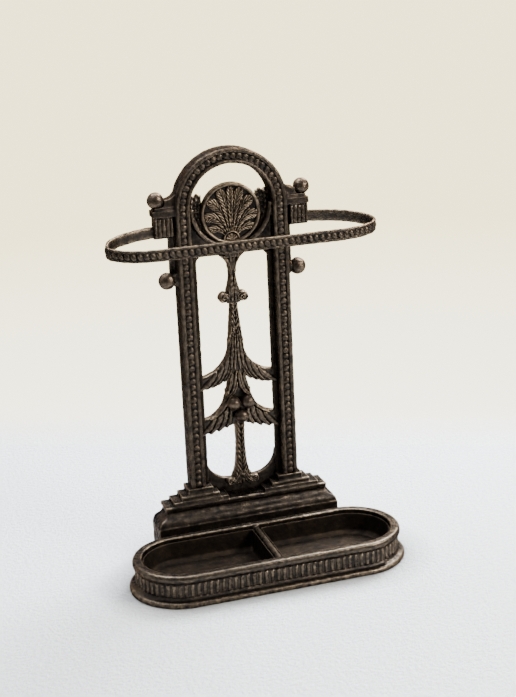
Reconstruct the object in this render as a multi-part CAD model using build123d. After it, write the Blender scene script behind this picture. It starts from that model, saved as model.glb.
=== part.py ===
"""Cast-iron umbrella stand: oval two-well base, stepped plinth, arched back and umbrella hoop.

Frame: millimetres, +Z up, the stand faces -Y, the floor is Z = 0, and the origin is on the
floor under the middle of the whole stand. The stand is mirror-symmetric about X = 0.
"""
from build123d import *
import os
from math import asin, degrees, sqrt

# ------------------------------------------------------------------ driving dimensions
TOTAL_HEIGHT = 760.0
BACK_Y = 132.0                  # flat back of plinth and stiles

# Base tray: every ring of it is a stadium about the same two end centres
TRAY_Y = -33.0                  # middle line of the tray
TRAY_HALF = 162.0               # from the middle to an end centre
FLANGE_R = 99.0
FLANGE_TOP = 8.6
BAND_R = 85.0                   # upright band between flange and rim
RIM_R = 91.0
RIM_BOTTOM = 42.0
RIM_TOP = 57.0
WELL_R = 74.0
WELL_FLOOR = 9.6
FOOT_WIDTH = 7.0
TRAY_RECESS = 3.5
DIVIDER_HALF = 6.0
DIVIDER_TOP = 54.0

# Drip pans
PAN_GAP = 0.7
PAN_WALL = 2.5
PAN_TOP = 50.0
PAN_KNEE = 18.0
PAN_CORNER = 7.0

# Plinth
APRON_TOP = 13.0
APRON_PLATE = 6.5
BLOCK_HALF = 177.5
BLOCK_FRONT = 73.7
BLOCK_TOP = 61.0
LIP_HALF = 159.5
LIP_FRONT = 86.5
LIP_BOTTOM = 88.0
LIP_TOP = 97.0
WEB_HALF = 165.0
WEB_TOP = 47.0

# Stiles and arch
STILE_IN = 77.5
STILE_OUT = 105.0
STILE_FRONT = 94.0
STILE_MID = (STILE_IN + STILE_OUT) / 2
ARCH_Z = TOTAL_HEIGHT - STILE_OUT
# Each step of a pedestal: inner |x|, outer |x|, top z, front y
PEDESTAL = [(36.0, 143.0, 104.0, 88.3), (52.0, 127.0, 113.0, 90.2), (65.0, 113.0, 125.0, 92.1)]
FOOT_SOLID = 40.0               # solid foot of a stile, above which its back is hollow

# Panel between the stiles
PLATE_FRONT = 116.0
PLATE_BACK = 128.0
PLATE_BOTTOM = 563.0
PLATE_CORNER = 10.0
RING_FRONT = 103.0
RING_IN = 71.0
LEDGE_IN = 43.0
LUNETTE_BACK = 122.0
HORN_TOP = 680.0
HORN_IN = 50.0
RAIL_FRONT = 118.0
BITE = 0.6                      # how far rounded corners run into a stile, so none ends in a cusp

# Shell medallion
MEDALLION_Z = 640.7
MEDALLION_R = 56.0
MEDALLION_FRONT = 105.0
MEDALLION_RIM = 5.5
DISH_FRONT = 109.5
SCREW_X = 38.0
SCREW_Z = 622.0
FROND_ANGLES = [0, 20, 40, 60, 80]      # from upright, mirrored to the other side
FROND_LENGTHS = [74, 72, 66, 56, 44]

# Brackets, sockets and hoop
CORNICE_OUT = 146.0
CORNICE_BOTTOM = 647.0
CORNICE_TOP = 665.0
EAR_FRONT = 118.0
EAR_BACK = 126.0
FLANGE_OUT = 116.0              # narrow flange between a socket and the ball below it
SOCKET_IN = 110.0
SOCKET_OUT = 144.0
SOCKET_FRONT = 96.0
SOCKET_BOTTOM = 608.0
SOCKET_BOLT_X = 131.0
HOOP_Z0 = 611.0
HOOP_Z1 = 632.3
HOOP_BACK = 112.0               # outside of the band behind
HOOP_WIDEST = 29.0              # where the ends reach furthest out
HOOP_FRONT = -18.0              # outside of the band in front
HOOP_THICK = 6.0
HOOP_HALF = 247.5
HOOP_SWEEP = 137.0              # length of the quarter ellipse of an end, behind
HOOP_CORNER = 87.0              # the same in front
HOOP_TILT = 6.5                 # degrees down towards the front
HOOP_TAIL = 122.0               # end of the band inside a socket
SLOT_GAP = 0.15

# Ball finials and berries
BALL_Y = 111.0
UPPER_BALL = (136.5, 676.5, 15.0)
LOWER_BALL = (124.5, 528.0, 15.5)
LUG_R = 16.0
BERRY_R = 13.3
BERRY_Y = 100.0
BERRIES = [(-13.6, 280.5), (13.6, 280.5), (0.0, 254.5)]

# Tracery casting
TRACERY_FRONT = 112.0
TRACERY_BACK = 126.0
PAD_FRONT = 107.0
BAR_WIDTH = 10.0                # side bars of the casting, against the stiles
BAR_BACK = 118.0
WING_R = 64.0                   # hollow of the upper wings, about the stile's inner edge
WING_Z = 397.5
LOWER_WING_R = 53.0
LOWER_WING_Z = 303.0
VOLUTE = (17.5, 482.0, 10.5)
SCROLL = (25.0, 121.0, 7.0)
OPENING_R = 45.0                # bottom corner of the lowest openings

# Fasteners: shank radius, width across flats, head height
M10 = (5.0, 16.0, 6.4)
M8 = (4.0, 13.0, 5.0)
M6 = (3.0, 10.0, 4.0)
THREAD_GAP = 0.05
HOLE_GAP = 0.5


# ------------------------------------------------------------------ helpers
def up(outline, z0, z1):
    """A plan outline raised from z0 to z1."""
    return extrude(Pos(0, 0, z0) * outline, amount=z1 - z0, dir=(0, 0, 1))


def deep(outline, y0, y1):
    """An outline drawn in X and Z, solid from y0 back to y1."""
    face = Plane(origin=(0, y1, 0), x_dir=(1, 0, 0), z_dir=(0, -1, 0)) * outline
    return extrude(face, amount=y1 - y0, dir=(0, -1, 0))


def along(outline, x0, x1):
    """An outline drawn in Y and Z, solid from x0 to x1."""
    face = Plane(origin=(x0, 0, 0), x_dir=(0, 1, 0), z_dir=(1, 0, 0)) * outline
    return extrude(face, amount=x1 - x0, dir=(1, 0, 0))


def block(x0, x1, y0, y1, z0, z1):
    return Pos((x0 + x1) / 2, (y0 + y1) / 2, (z0 + z1) / 2) * Box(x1 - x0, y1 - y0, z1 - z0)


def rod_y(x, z, radius, y0, y1):
    return Pos(x, (y0 + y1) / 2, z) * Rot(90, 0, 0) * Cylinder(radius, y1 - y0)


def both(shape):
    """The shape and its mirror image across the middle plane."""
    return shape + mirror(shape, about=Plane.YZ)


def polygon(*points):
    return make_face(Polyline(*points, close=True))


def stadium(radius):
    return Pos(0, TRAY_Y) * SlotCenterToCenter(2 * TRAY_HALF, 2 * radius)


def hex_bolt(size, length):
    """Head below the origin, shank up along +Z."""
    shank, flats, head = size
    top = extrude(RegularPolygon(flats / 2, 6, major_radius=False), amount=-head)
    return top + Pos(0, 0, length / 2) * Cylinder(shank, length)


def washer(size, thickness):
    outline = Circle(size[0] * 2) - Circle(size[0] + HOLE_GAP)
    return extrude(outline, amount=thickness)


# ------------------------------------------------------------------ base
def make_base_tray():
    flange = up(stadium(FLANGE_R), 0, FLANGE_TOP)
    flange = fillet(flange.edges().group_by(Axis.Z)[-1], 3.5)
    rim = up(stadium(RIM_R), RIM_BOTTOM, RIM_TOP)
    rim = fillet(rim.edges().group_by(Axis.Z)[-1] + rim.edges().group_by(Axis.Z)[0], 5.5)
    apron = block(-BLOCK_HALF, BLOCK_HALF, TRAY_Y + BAND_R - 4, BACK_Y, 0, APRON_TOP)
    web = block(-WEB_HALF, WEB_HALF, TRAY_Y + BAND_R - 4, BLOCK_FRONT, 0, WEB_TOP)
    body = flange + up(stadium(BAND_R), 0, RIM_BOTTOM + 3) + rim + apron + web
    well = up(stadium(WELL_R), WELL_FLOOR, RIM_TOP + 1)
    divider_top = polygon(
        (-DIVIDER_HALF, 0),
        (DIVIDER_HALF, 0),
        (DIVIDER_HALF, DIVIDER_TOP - DIVIDER_HALF),
        (-DIVIDER_HALF, DIVIDER_TOP - DIVIDER_HALF),
    ) + Pos(0, DIVIDER_TOP - DIVIDER_HALF) * Circle(DIVIDER_HALF)
    divider = deep(divider_top, TRAY_Y - WELL_R - 2, TRAY_Y + WELL_R + 2)
    body = body - (well - divider)
    body -= up(stadium(FLANGE_R - FOOT_WIDTH), 0, TRAY_RECESS)
    web_hollow_y = TRAY_Y + BAND_R + 8
    body -= block(-WEB_HALF + 8, WEB_HALF - 8, web_hollow_y, BLOCK_FRONT - 6, 0, WEB_TOP - 8)
    foot = FOOT_WIDTH + 1
    plate_z = APRON_TOP - APRON_PLATE
    body -= block(-BLOCK_HALF + foot, BLOCK_HALF - foot, BLOCK_FRONT, BACK_Y - foot, 0, plate_z)
    for x, y in plinth_bolt_places():
        body -= Pos(x, y, APRON_TOP / 2) * Cylinder(M8[0] + HOLE_GAP, APRON_TOP + 2)
    return body


def pan_section(inset, divider_x, z):
    """Plan of one pan at a height: flat beside the divider, half round at the end."""
    radius = WELL_R - PAN_GAP - inset
    outline = Pos(TRAY_HALF, TRAY_Y) * Circle(radius)
    outline += Pos((divider_x + TRAY_HALF) / 2, TRAY_Y) * Rectangle(TRAY_HALF - divider_x, 2 * radius)
    corners = outline.vertices().sort_by(Axis.X)[0:2]
    return Pos(0, 0, z) * fillet(corners, PAN_CORNER)


def pan_solid(wall, floor, top):
    """Solid bowl shape, drawn in by a wall thickness, curving in towards its floor."""
    side = DIVIDER_HALF + PAN_GAP + wall
    faces = [
        pan_section(12.0 + wall, side + 4.0, floor).face(),
        pan_section(5.5 + wall, side + 1.0, PAN_KNEE).face(),
        pan_section(wall, side, top).face(),
    ]
    return loft(faces, ruled=True)


def make_drip_pan():
    outer = pan_solid(0.0, WELL_FLOOR + 0.2, PAN_TOP)
    inner = pan_solid(PAN_WALL, WELL_FLOOR + 0.2 + PAN_WALL, PAN_TOP + 0.01)
    return outer - inner


def plinth_bolt_places():
    return [(x, y) for x in (-158.0, 158.0) for y in (92.0, 115.0)]


def moulding(reach, lip_reach, inner):
    """Half section of the plinth: upright block, ogee drawn in, projecting lip slab."""
    undercut = 3.0
    start = reach - 1.5
    end = lip_reach - undercut
    run = start - end
    rise = LIP_BOTTOM - BLOCK_TOP - 1
    radius = (run**2 + rise**2) / (4 * run)
    turn = degrees(asin(rise / 2 / radius))
    ledge = Polyline((inner, APRON_TOP), (reach, APRON_TOP), (reach, BLOCK_TOP), (start, BLOCK_TOP + 1))
    convex = JernArc((start, BLOCK_TOP + 1), (0, 1), radius, turn)
    concave = JernArc(convex @ 1, convex % 1, radius, -turn)
    slab = Polyline(
        concave @ 1,
        (lip_reach - 1, LIP_BOTTOM),
        (lip_reach, LIP_BOTTOM + 2),
        (lip_reach, LIP_TOP - 1),
        (lip_reach - 1, LIP_TOP),
        (inner, LIP_TOP),
        (inner, APRON_TOP),
    )
    return make_face([ledge, convex, concave, slab])


def make_plinth():
    wide = both(moulding(BLOCK_HALF, LIP_HALF, 0.0))
    section = mirror(moulding(-BLOCK_FRONT, -LIP_FRONT, -BACK_Y), about=Plane.YZ)
    body = deep(wide, BLOCK_FRONT - 5, BACK_Y) & along(section, -BLOCK_HALF - 5, BLOCK_HALF + 5)
    below = LIP_TOP
    for inner, outer, top, front in PEDESTAL:
        step = block(inner, outer, front, BACK_Y, below, top)
        body += both(step)
        below = top
    body -= block(-171, 171, 80, BACK_Y - 6, APRON_TOP - 1, BLOCK_TOP - 1)
    body -= block(-148, 148, 96, BACK_Y - 6, BLOCK_TOP - 2, LIP_BOTTOM)
    body -= both(block(72, 108, 99, BACK_Y - 6, LIP_BOTTOM - 1, PEDESTAL[2][2] - 12))
    for x, y in plinth_bolt_places():
        boss = Pos(x, y, (APRON_TOP + BLOCK_TOP) / 2) * Cylinder(10, BLOCK_TOP - APRON_TOP)
        tapped = Pos(x, y, APRON_TOP + 12) * Cylinder(M8[0] + THREAD_GAP, 24)
        body += boss
        body -= tapped
    for x in (-STILE_MID, STILE_MID):
        body -= Pos(x, (99 + BACK_Y - 6) / 2, PEDESTAL[2][2]) * Cylinder(M10[0] + HOLE_GAP, 30)
    return body


def make_plinth_bolts():
    bolt = hex_bolt(M8, 27)
    return [Pos(x, y, APRON_TOP - APRON_PLATE) * bolt for x, y in plinth_bolt_places()]


def frame_bolt_places():
    roof = PEDESTAL[2][2] - 12
    return [(x, (99 + BACK_Y - 6) / 2, roof) for x in (-STILE_MID, STILE_MID)]


def make_frame_washers():
    ring = washer(M10, 2)
    return [Pos(x, y, z - 2) * ring for x, y, z in frame_bolt_places()]


def make_frame_bolts():
    bolt = hex_bolt(M10, 40)
    return [Pos(x, y, z - 2) * bolt for x, y, z in frame_bolt_places()]


# ------------------------------------------------------------------ arched back frame
def stile_section(hollow):
    """Plan section of a stile: outer rib, bead channel, inner rib, and a hollow back."""
    outline = polygon(
        (STILE_IN, BACK_Y),
        (STILE_IN, STILE_FRONT + 3),
        (STILE_IN + 1.5, STILE_FRONT + 1),
        (STILE_IN + 6, STILE_FRONT + 1),
        (STILE_IN + 8, STILE_FRONT + 5),
        (STILE_OUT - 9, STILE_FRONT + 5),
        (STILE_OUT - 7, STILE_FRONT),
        (STILE_OUT - 2, STILE_FRONT),
        (STILE_OUT, STILE_FRONT + 3),
        (STILE_OUT, BACK_Y),
    )
    if hollow:
        channel = Rectangle(STILE_OUT - STILE_IN - 11, 2 * (BACK_Y - 110))
        outline -= Pos(STILE_MID, BACK_Y) * channel
    return outline


def make_plate():
    """Spandrels below the ring."""
    width = 2 * STILE_IN
    outline = Pos(0, (PLATE_BOTTOM + ARCH_Z) / 2) * Rectangle(width, ARCH_Z - PLATE_BOTTOM)
    outline -= Pos(0, ARCH_Z) * Circle(RING_IN)
    return deep(outline, PLATE_FRONT, PLATE_BACK)


def make_ring():
    """U-shaped moulding that completes the arch's inner circle, with a ledge behind it."""
    outside = STILE_IN + BITE
    lower_half = Pos(0, ARCH_Z - outside / 2) * Rectangle(2 * outside, outside)
    centre = Pos(0, ARCH_Z)
    ring = (centre * Circle(outside) - centre * Circle(RING_IN)) & lower_half
    ledge = (centre * Circle(outside) - centre * Circle(LEDGE_IN)) & lower_half
    return deep(ring, RING_FRONT, PLATE_BACK) + deep(ledge, LUNETTE_BACK, PLATE_BACK)


def make_rail():
    """Bottom rail: follows the pedestal steps below and the rounded openings above."""
    outline = polygon(
        (0, LIP_TOP),
        (PEDESTAL[0][0], LIP_TOP),
        (PEDESTAL[0][0], PEDESTAL[0][2]),
        (PEDESTAL[1][0], PEDESTAL[0][2]),
        (PEDESTAL[1][0], PEDESTAL[1][2]),
        (PEDESTAL[2][0], PEDESTAL[1][2]),
        (PEDESTAL[2][0], PEDESTAL[2][2]),
        (STILE_IN, PEDESTAL[2][2]),
        (STILE_IN, 127 + OPENING_R),
        (0, 127 + OPENING_R),
    )
    corner_x = STILE_IN - BAR_WIDTH + BITE - OPENING_R
    hollow = Pos(corner_x, 127 + OPENING_R) * Circle(OPENING_R)
    hollow += Pos(corner_x / 2, 127 + OPENING_R) * Rectangle(corner_x, 2 * OPENING_R)
    return deep(both(outline - hollow), RAIL_FRONT, PLATE_BACK)


def make_bracket():
    """Right shoulder web, cornice, socket ear and the two finial seats."""
    concave = RadiusArc((94, 699), (122, 677), -30)
    edge = Polyline(concave @ 1, (124, CORNICE_TOP - 2), (100, CORNICE_BOTTOM), (88, 670), concave @ 0)
    body = deep(make_face([concave, edge]), BALL_Y - 9, EAR_BACK)
    body += block(STILE_OUT - 2, CORNICE_OUT - 5, SOCKET_FRONT + 3, EAR_BACK, CORNICE_TOP - 6, CORNICE_TOP)
    body += block(STILE_OUT - 2, CORNICE_OUT, SOCKET_FRONT, EAR_BACK, CORNICE_BOTTOM, CORNICE_TOP - 6)
    body += block(STILE_OUT - 2, SOCKET_OUT - 2, EAR_FRONT, EAR_BACK, SOCKET_BOTTOM, CORNICE_BOTTOM)
    x, z, radius = LOWER_BALL
    body += block(STILE_OUT - 2, FLANGE_OUT, EAR_FRONT, EAR_BACK, z, SOCKET_BOTTOM + 1)
    lug = Cone(LUG_R, LUG_R - 6, 12)
    body += Pos(STILE_OUT + 2, BALL_Y, z) * Rot(0, 90, 0) * lug
    body -= Pos(x, BALL_Y, z) * Sphere(radius)
    return body


def make_back_frame():
    foot_z = PEDESTAL[2][2]
    stile = up(stile_section(False), foot_z, foot_z + FOOT_SOLID)
    stile += up(stile_section(True), foot_z + FOOT_SOLID, ARCH_Z)
    crown_axis = Axis((0, 0, ARCH_Z), (0, 1, 0))
    arch = revolve(Pos(0, 0, ARCH_Z) * stile_section(True), crown_axis, -180)
    body = both(stile) + arch + make_plate() + make_ring() + make_rail()
    body += both(make_bracket())
    for x, y, z in frame_bolt_places():
        body -= Pos(x, y, foot_z + 14) * Cylinder(M10[0] + THREAD_GAP, 30)
    for side in (-1, 1):
        body -= rod_y(side * SCREW_X, SCREW_Z, 2.6, LUNETTE_BACK - 1, PLATE_BACK + 1)
        body -= rod_y(side * SOCKET_BOLT_X, socket_bolt_z(), M6[0] + HOLE_GAP, EAR_FRONT - 1, EAR_BACK + 1)
        x, z, radius = UPPER_BALL
        body -= Pos(side * x, BALL_Y, CORNICE_TOP - 5) * Cylinder(4 + THREAD_GAP, 22)
        body -= Pos(side * x, BALL_Y, z) * Sphere(radius)
        x, z, radius = LOWER_BALL
        body -= Pos(side * (STILE_OUT - 1), BALL_Y, z) * Rot(0, 90, 0) * Cylinder(4 + THREAD_GAP, 24)
    for x, z in rivet_places():
        body -= rod_y(x, z, 3 + THREAD_GAP, PLATE_FRONT - 1, PLATE_BACK + 1)
    return body


# ------------------------------------------------------------------ medallion and lunette
def make_lunette():
    """Crescent backing plate behind the medallion, rising in two horns inside the arch."""
    low = Pos(0, ARCH_Z) * Circle(RING_IN) & Pos(0, ARCH_Z - 40) * Rectangle(160, 80)
    horn_band = Pos(0, (ARCH_Z + HORN_TOP) / 2) * Rectangle(160, HORN_TOP - ARCH_Z)
    horns = Pos(0, ARCH_Z) * Circle(STILE_IN) & horn_band
    outline = low + horns - Pos(0, HORN_TOP) * Rectangle(2 * HORN_IN, 20)
    body = deep(outline, PLATE_FRONT, LUNETTE_BACK)
    for side in (-1, 1):
        body -= rod_y(side * SCREW_X, SCREW_Z, 2.6, PLATE_FRONT - 1, LUNETTE_BACK + 1)
    return body


def make_frond(angle, length):
    foot_z = MEDALLION_Z - MEDALLION_R + 9
    stem = Pos(0, length / 2 + 10) * SlotOverall(length, 6, rotation=90)
    leaf = Pos(0, length * 0.72 + 10) * Ellipse(5.5, length * 0.27)
    return Pos(0, foot_z) * Rot(0, 0, -angle) * (stem + leaf)


def make_medallion():
    centre = Pos(0, MEDALLION_Z)
    body = deep(centre * Circle(MEDALLION_R), MEDALLION_FRONT, PLATE_FRONT)
    inside = MEDALLION_R - MEDALLION_RIM
    body -= deep(centre * Circle(inside), MEDALLION_FRONT - 1, DISH_FRONT)
    fronds = make_frond(0, FROND_LENGTHS[0])
    for angle, length in zip(FROND_ANGLES[1:], FROND_LENGTHS[1:]):
        fronds += make_frond(angle, length) + make_frond(-angle, length)
    root = Pos(0, MEDALLION_Z - MEDALLION_R + 9) * Circle(14)
    relief = (fronds + root) & centre * Circle(inside - 1)
    body += deep(relief, MEDALLION_FRONT + 1.5, DISH_FRONT + 1)
    for side in (-1, 1):
        body -= rod_y(side * SCREW_X, SCREW_Z, 2.5 + THREAD_GAP, DISH_FRONT + 1.2, PLATE_FRONT + 1)
    return body


def make_medallion_screws():
    head = rod_y(SCREW_X, SCREW_Z, 4.5, PLATE_BACK, PLATE_BACK + 3)
    slot = block(SCREW_X - 5, SCREW_X + 5, PLATE_BACK + 1.6, PLATE_BACK + 4, SCREW_Z - 0.6, SCREW_Z + 0.6)
    screw = head - slot + rod_y(SCREW_X, SCREW_Z, 2.5, DISH_FRONT + 1.7, PLATE_BACK)
    return [screw, mirror(screw, about=Plane.YZ)]


# ------------------------------------------------------------------ tracery
def rivet_places():
    return [(0.0, PLATE_BOTTOM + 7.0), (-12.0, 117.0), (12.0, 117.0)]


def upper_half():
    """Neck, volute, laurel stem and upper wing on the right of the middle line."""
    neck = Spline((24, PLATE_BOTTOM), (10.5, 549), (6.3, 528), (7.9, 511), (12.5, 494))
    wing_x = STILE_IN - WING_R
    taper = Polyline(neck @ 1, (12.5, 471), (6.4, 470), (wing_x, WING_Z))
    hollow = RadiusArc((wing_x, WING_Z), (STILE_IN, WING_Z - WING_R), -WING_R)
    tip = Line((STILE_IN, WING_Z - WING_R), (STILE_IN, 316))
    under = Spline((STILE_IN, 316), (55, 313), (35, 319), (17, 327))
    bell = Spline((17, 327), (14.5, 316), (17.4, 302), (22, 293))
    close = Polyline((22, 293), (0, 293), (0, PLATE_BOTTOM), (24, PLATE_BOTTOM))
    x, z, radius = VOLUTE
    return make_face([neck, taper, hollow, tip, under, bell, close]) + Pos(x, z) * Circle(radius)


def lower_half():
    """Calyx, lower wing and the stem that flares to the foot scrolls."""
    drop = sqrt(LOWER_WING_R**2 - (STILE_IN - 26) ** 2)
    start_z = LOWER_WING_Z - drop
    top = Polyline((0, 300), (22, 300), (26, start_z))
    hollow = RadiusArc((26, start_z), (STILE_IN, LOWER_WING_Z - LOWER_WING_R), -LOWER_WING_R)
    tip = Line((STILE_IN, LOWER_WING_Z - LOWER_WING_R), (STILE_IN, 227))
    under = Spline((STILE_IN, 227), (60, 222.5), (41, 228), (9, 235))
    stem = Spline((9, 235), (8, 200), (9.5, 170), (12.5, 146), (20, 127))
    close = Polyline((20, 127), (0, 127), (0, 300))
    return make_face([top, hollow, tip, under, stem, close])


def side_bar():
    """Bar against the right stile, with a rounded corner under the plate."""
    bottom = PEDESTAL[2][2]
    middle = Pos(STILE_IN - BAR_WIDTH / 2, (bottom + PLATE_BOTTOM) / 2)
    bar = middle * Rectangle(BAR_WIDTH, PLATE_BOTTOM - bottom)
    corner_x = STILE_IN - BAR_WIDTH + BITE - PLATE_CORNER
    corner_z = PLATE_BOTTOM - PLATE_CORNER
    square = Pos(corner_x + PLATE_CORNER / 2, corner_z + PLATE_CORNER / 2)
    corner = square * Rectangle(PLATE_CORNER, PLATE_CORNER)
    return bar + (corner - Pos(corner_x, corner_z) * Circle(PLATE_CORNER))


def make_tracery():
    body = deep(both(upper_half()), TRACERY_FRONT, TRACERY_BACK)
    body += deep(both(lower_half()), TRACERY_FRONT, TRACERY_BACK)
    body += deep(both(side_bar()), TRACERY_FRONT, BAR_BACK)
    top_pad = Pos(0, PLATE_BOTTOM + 4) * Rectangle(26, 18)
    body += deep(top_pad, PAD_FRONT, PLATE_FRONT)
    x, z, radius = SCROLL
    foot = Pos(0, 119) * Rectangle(2 * x, 18) + both(Pos(x, z) * Circle(radius))
    body += deep(foot, PAD_FRONT, RAIL_FRONT)
    for x, z in rivet_places():
        body -= rod_y(x, z, 3 + THREAD_GAP, PAD_FRONT + 3, TRACERY_BACK + 1)
    for x, z in BERRIES:
        body -= rod_y(x, z, 3 + THREAD_GAP, TRACERY_FRONT - 1, TRACERY_FRONT + 9)
    return body


def make_tracery_rivets():
    rivets = []
    for x, z in rivet_places():
        head = rod_y(x, z, 5.5, PLATE_BACK, PLATE_BACK + 3)
        rivets.append(head + rod_y(x, z, 3, PAD_FRONT + 3.5, PLATE_BACK))
    return rivets


def make_berries():
    berries = []
    for x, z in BERRIES:
        ball = Pos(x, BERRY_Y, z) * Sphere(BERRY_R)
        ball -= block(x - 20, x + 20, TRACERY_FRONT, TRACERY_FRONT + 20, z - 20, z + 20)
        berries.append(ball + rod_y(x, z, 3, TRACERY_FRONT - 2, TRACERY_FRONT + 8))
    return berries


# ------------------------------------------------------------------ hoop and sockets
def socket_bolt_z():
    return (HOOP_Z0 + HOOP_Z1) / 2


def hoop_part(length, depth, inset):
    """Straight middle between two ellipses, as wide as the hoop."""
    centre = HOOP_HALF - length
    ends = both(Pos(centre, HOOP_WIDEST) * Ellipse(length - inset, depth - inset))
    return ends + Pos(0, HOOP_WIDEST) * Rectangle(2 * centre, 2 * (depth - inset))


def hoop_outline(inset):
    """Level plan of the hoop, drawn in by an inset: long ends behind, tighter corners in front."""
    behind = Pos(0, HOOP_WIDEST + 100) * Rectangle(600, 200)
    ahead = Pos(0, HOOP_WIDEST - 100) * Rectangle(600, 200)
    rear = hoop_part(HOOP_SWEEP, HOOP_BACK - HOOP_WIDEST, inset) & behind
    return rear + (hoop_part(HOOP_CORNER, HOOP_WIDEST - HOOP_FRONT, inset) & ahead)


def hoop_band(gap):
    """Whole band, thicker by a gap all round, swung down towards the front about its back."""
    band = up(hoop_outline(-gap) - hoop_outline(HOOP_THICK + gap), HOOP_Z0 - gap, HOOP_Z1 + gap)
    middle_z = socket_bolt_z()
    return Pos(0, HOOP_BACK, middle_z) * Rot(HOOP_TILT, 0, 0) * Pos(0, -HOOP_BACK, -middle_z) * band


def make_hoop():
    body = hoop_band(0.0)
    body -= block(-HOOP_TAIL, HOOP_TAIL, HOOP_BACK - 20, HOOP_BACK + 20, HOOP_Z0 - 20, HOOP_Z1 + 20)
    for side in (-1, 1):
        x = side * SOCKET_BOLT_X
        body -= rod_y(x, socket_bolt_z(), M6[0] + HOLE_GAP, HOOP_BACK - 10, HOOP_BACK + 4)
    return body


def make_socket():
    body = block(SOCKET_IN, SOCKET_OUT, SOCKET_FRONT, EAR_FRONT, SOCKET_BOTTOM, CORNICE_BOTTOM)
    under = body.edges().group_by(Axis.Z)[0].filter_by(Axis.X).sort_by(Axis.Y)[0]
    body = chamfer(under, 5)
    inside = block(HOOP_TAIL - 1, SOCKET_OUT + 1, SOCKET_FRONT, EAR_FRONT, SOCKET_BOTTOM, CORNICE_BOTTOM)
    body -= hoop_band(SLOT_GAP) & inside
    body -= rod_y(SOCKET_BOLT_X, socket_bolt_z(), M6[0] + THREAD_GAP, SOCKET_FRONT + 4, EAR_FRONT + 1)
    return body


def make_socket_washers():
    ring = Rot(-90, 0, 0) * washer(M6, 1.5)
    return [Pos(side * SOCKET_BOLT_X, EAR_BACK, socket_bolt_z()) * ring for side in (-1, 1)]


def make_socket_bolts():
    bolt = Rot(90, 0, 0) * hex_bolt(M6, EAR_BACK + 1.5 - SOCKET_FRONT - 5)
    return [Pos(side * SOCKET_BOLT_X, EAR_BACK + 1.5, socket_bolt_z()) * bolt for side in (-1, 1)]


def make_finial(radius):
    """Ball with a threaded stud down along -Z."""
    return Sphere(radius) + Pos(0, 0, -radius - 5) * Cylinder(4, 14)


def finials():
    """Node name and solid of each of the four balls."""
    made = {}
    for side, name in ((-1, "left"), (1, "right")):
        x, z, radius = UPPER_BALL
        made["finial_upper_" + name] = Pos(side * x, BALL_Y, z) * make_finial(radius)
        x, z, radius = LOWER_BALL
        turned = Rot(0, side * 90, 0) * make_finial(radius)
        made["finial_lower_" + name] = Pos(side * x, BALL_Y, z) * turned
    return made


# ------------------------------------------------------------------ write the nodes
def nodes():
    pan = make_drip_pan()
    socket = make_socket()
    made = {
        "base_tray": make_base_tray(),
        "drip_pan_right": pan,
        "drip_pan_left": mirror(pan, about=Plane.YZ),
        "plinth": make_plinth(),
        "plinth_bolts": make_plinth_bolts(),
        "frame_washers": make_frame_washers(),
        "frame_bolts": make_frame_bolts(),
        "back_frame": make_back_frame(),
        "lunette_plate": make_lunette(),
        "shell_medallion": make_medallion(),
        "medallion_screws": make_medallion_screws(),
        "tracery": make_tracery(),
        "tracery_rivets": make_tracery_rivets(),
        "berries": make_berries(),
        "umbrella_hoop": make_hoop(),
        "socket_right": socket,
        "socket_left": mirror(socket, about=Plane.YZ),
        "socket_washers": make_socket_washers(),
        "socket_bolts": make_socket_bolts(),
    }
    made.update(finials())
    return made


os.makedirs("parts", exist_ok=True)
for node, shape in nodes().items():
    solids = shape if isinstance(shape, list) else shape.solids()
    whole = Compound(children=list(solids)) if len(solids) > 1 else solids[0]
    export_step(whole, "parts/" + node + ".step")
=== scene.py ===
"""Looks of the cast-iron umbrella stand, built in the CAD part's own frame.

Lengths are millimetres in the same frame as the part until a mesh is written, which is in metres.
"""
import bmesh
import bpy
import numpy as np
from math import cos, pi, radians, sin
from mathutils import Matrix, Vector


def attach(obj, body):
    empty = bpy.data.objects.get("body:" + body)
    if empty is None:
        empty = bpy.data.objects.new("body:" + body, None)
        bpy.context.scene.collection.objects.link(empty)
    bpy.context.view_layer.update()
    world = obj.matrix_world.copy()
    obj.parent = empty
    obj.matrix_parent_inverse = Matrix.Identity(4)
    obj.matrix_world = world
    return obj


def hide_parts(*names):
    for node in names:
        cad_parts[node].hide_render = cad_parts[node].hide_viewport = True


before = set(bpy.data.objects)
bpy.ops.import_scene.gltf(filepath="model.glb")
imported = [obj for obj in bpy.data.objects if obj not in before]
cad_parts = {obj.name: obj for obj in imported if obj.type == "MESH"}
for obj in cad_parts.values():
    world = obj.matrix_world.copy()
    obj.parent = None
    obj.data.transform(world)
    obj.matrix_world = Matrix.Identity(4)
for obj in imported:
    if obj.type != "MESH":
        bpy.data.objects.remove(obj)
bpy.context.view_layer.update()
MM = 0.001

# ------------------------------------------------------------------ sizes shared with the part
ARCH_Z = 655.0
STILE_IN, STILE_OUT = 77.5, 105.0
STILE_MID = (STILE_IN + STILE_OUT) / 2
BACK_Y = 132.0
FOOT_Z = 125.0
PANEL_TOP = 563.0
TRAY_Y, TRAY_HALF = -33.0, 162.0
MEDALLION_Z, MEDALLION_R = 640.7, 56.0
HOOP_BACK, HOOP_WIDEST, HOOP_FRONT, HOOP_HALF = 112.0, 29.0, -18.0, 247.5
HOOP_SWEEP, HOOP_CORNER = 137.0, 87.0
HOOP_Z0, HOOP_Z1, HOOP_TILT, HOOP_TAIL = 611.0, 632.3, 6.5, 122.0
SOCKET_X = 127.0

# ------------------------------------------------------------------ pitches of what repeats
STILE_BEADS, HOOP_BEADS, GADROONS, LAUREL = 12.0, 11.3, 11.35, 11.6


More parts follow.
